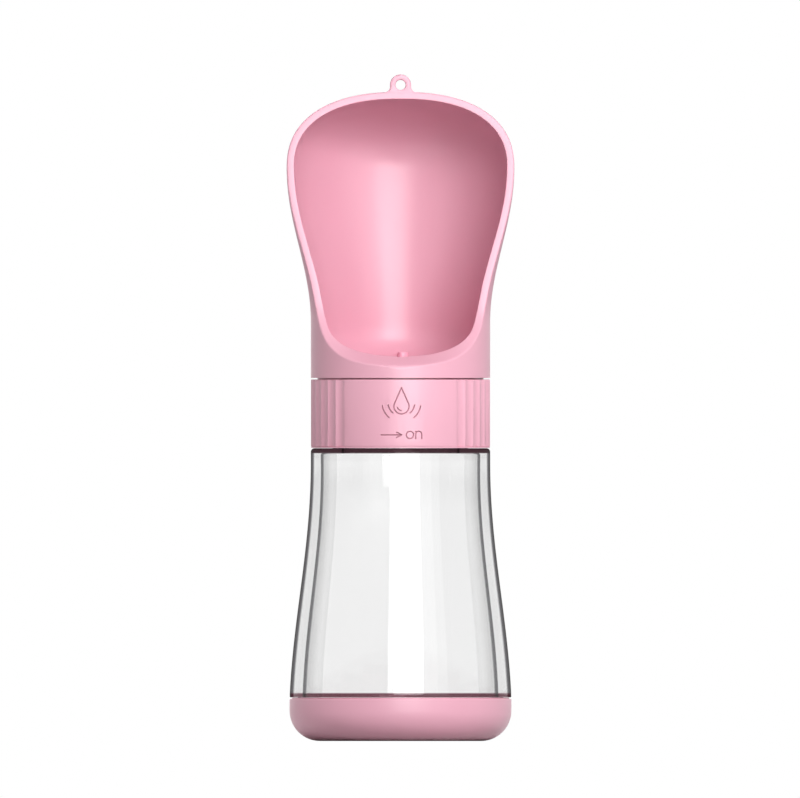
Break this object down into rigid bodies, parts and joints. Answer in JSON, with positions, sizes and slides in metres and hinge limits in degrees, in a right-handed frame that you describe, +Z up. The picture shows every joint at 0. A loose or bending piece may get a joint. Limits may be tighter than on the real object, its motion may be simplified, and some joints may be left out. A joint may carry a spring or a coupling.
{
  "type": "dog travel water bottle",
  "caption": "Travel water bottle with a drinking scoop on its screw cap, a fluted ring that turns a rotary water valve, and a screw-on foot cup.",
  "frame": {"origin": "centre of the foot cup's flat underside, on the axis of the bottle", "axes": "+Z up along the bottle's axis, the scoop opens towards -Y, +X to the right as seen from the open side"},
  "size_m": [0.0752, 0.0732, 0.22],
  "materials": {
    "pink_shell": "satin moulded polypropylene",
    "clear_shell": "clear glossy copolyester",
    "inner_plastic": "satin moulded polypropylene",
    "silicone": "matte translucent silicone",
    "stainless": "bright stainless steel"
  },
  "bodies": {
    "base": {"base_cap": "pink_shell"},
    "foot_seal": {"base_gasket": "silicone"},
    "bottle": {"bottle_body": "clear_shell"},
    "neck_seal": {"neck_gasket": "silicone"},
    "head": {"screw_cap": "inner_plastic", "deck_gasket": "silicone", "valve_gasket": "silicone", "scoop": "pink_shell", "pivot_oring": "silicone", "pivot_screw": "stainless", "pivot_washer": "stainless"},
    "ring": {"control_ring": "pink_shell", "valve_disc": "inner_plastic"}
  },
  "joints": [
    {"name": "bottle_lift", "type": "slide", "parent": "base", "child": "foot_seal", "axis": [0, 0, 1], "range_m": [0, 0.00801]},
    {"name": "bottle_unscrew", "type": "hinge", "parent": "foot_seal", "child": "bottle", "pos_m": [0, 0, 0.01], "axis": [0, 0, 1], "range_deg": [0, 480]},
    {"name": "head_lift", "type": "slide", "parent": "bottle", "child": "neck_seal", "axis": [0, 0, 1], "range_m": [0, 0.01601]},
    {"name": "head_unscrew", "type": "hinge", "parent": "neck_seal", "child": "head", "pos_m": [0, 0, 0.112], "axis": [0, 0, 1], "range_deg": [0, 720]},
    {"name": "ring_turn", "type": "hinge", "parent": "head", "child": "ring", "pos_m": [0, 0, 0.108], "axis": [0, 0, 1], "range_deg": [0, 90]}
  ],
  "couplings": [
    {"joint": "bottle_lift", "follows": "bottle_unscrew", "m_per_rad": 0.00095493},
    {"joint": "head_lift", "follows": "head_unscrew", "m_per_rad": 0.0012732}
  ]
}
